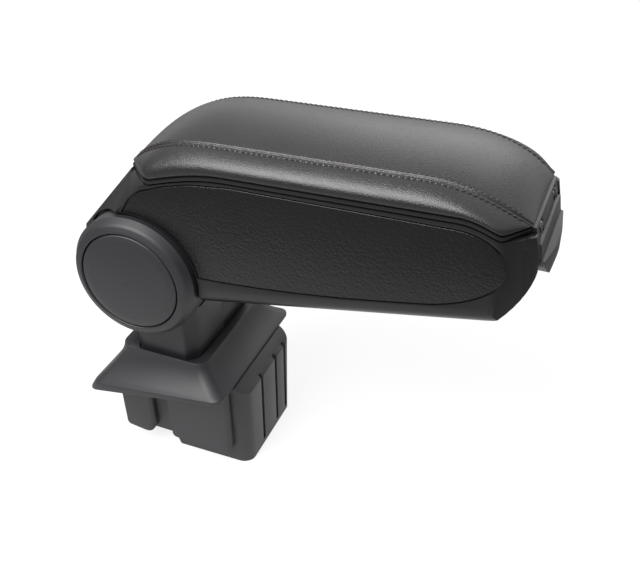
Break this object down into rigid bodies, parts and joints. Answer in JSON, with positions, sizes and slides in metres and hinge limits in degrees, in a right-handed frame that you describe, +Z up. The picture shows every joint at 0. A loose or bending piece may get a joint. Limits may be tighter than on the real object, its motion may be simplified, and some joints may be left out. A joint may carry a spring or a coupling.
{
  "type": "car centre armrest",
  "caption": "Tilting storage armrest: padded latched lid on a box, forked stalk with round pivot covers, flared collar and a ribbed plug for a console well.",
  "frame": {"origin": "centre of the two fixing holes, on the lower face of the foot plate in the plug", "axes": "+X from the pivot towards the free end of the arm, +Y to the left side, +Z up"},
  "size_m": [0.3491, 0.1424, 0.3007],
  "materials": {
    "satin_plastic": "satin black moulding",
    "grained_plastic": "fine leather grain",
    "black_plastic": "matte black moulding",
    "moulded_plastic": "matte dark grey moulding",
    "leatherette": "soft sheen with fine grain",
    "plated_steel": "bright zinc plate",
    "spring_steel": "oiled",
    "friction_fibre": "pressed fibre"
  },
  "bodies": {
    "base": {"stalk_shell_left": "moulded_plastic", "stalk_shell_right": "moulded_plastic", "stalk_bracket": "plated_steel", "cover_ring_left": "moulded_plastic", "cover_ring_right": "moulded_plastic", "cover_disc_left": "moulded_plastic", "cover_disc_right": "moulded_plastic", "pivot_bolt": "plated_steel", "pivot_nut": "plated_steel", "friction_washers": "friction_fibre", "spring_washer": "spring_steel", "base_collar": "moulded_plastic", "base_plug": "moulded_plastic", "foot_plate": "plated_steel", "foot_screws": "plated_steel", "bracket_screws": "plated_steel"},
    "arm": {"box_shell": "satin_plastic", "side_panel_left": "grained_plastic", "side_panel_right": "grained_plastic", "storage_liner": "black_plastic", "liner_screws": "plated_steel", "nose_corner_left": "satin_plastic", "nose_corner_right": "satin_plastic", "latch_bezel": "black_plastic", "striker_clip": "spring_steel", "pivot_tube": "plated_steel", "hinge_pin_left": "plated_steel", "hinge_pin_right": "plated_steel"},
    "lid": {"lid_carrier": "satin_plastic", "lid_cushion": "leatherette", "lid_liner": "black_plastic", "lid_liner_screws": "plated_steel", "latch_pin": "plated_steel", "latch_spring_left": "spring_steel", "latch_spring_right": "spring_steel"},
    "latch": {"latch_paddle": "moulded_plastic"}
  },
  "joints": [
    {"name": "arm_tilt", "type": "hinge", "parent": "base", "child": "arm", "pos_m": [-0.0455, 0, 0.181], "axis": [0, -1, 0], "range_deg": [0, 90]},
    {"name": "lid_hinge", "type": "hinge", "parent": "arm", "child": "lid", "pos_m": [-0.049, 0, 0.25995], "axis": [0, -1, 0], "range_deg": [0, 75], "deforming": ["striker_clip"]},
    {"name": "latch_pull", "type": "hinge", "parent": "lid", "child": "latch", "pos_m": [0.2349, 0, 0.2661], "axis": [0, -1, 0], "range_deg": [0, 15], "stiffness_Nm_per_rad": 0.05, "springref_deg": -17.19, "deforming": ["latch_spring_left", "latch_spring_right"]}
  ]
}
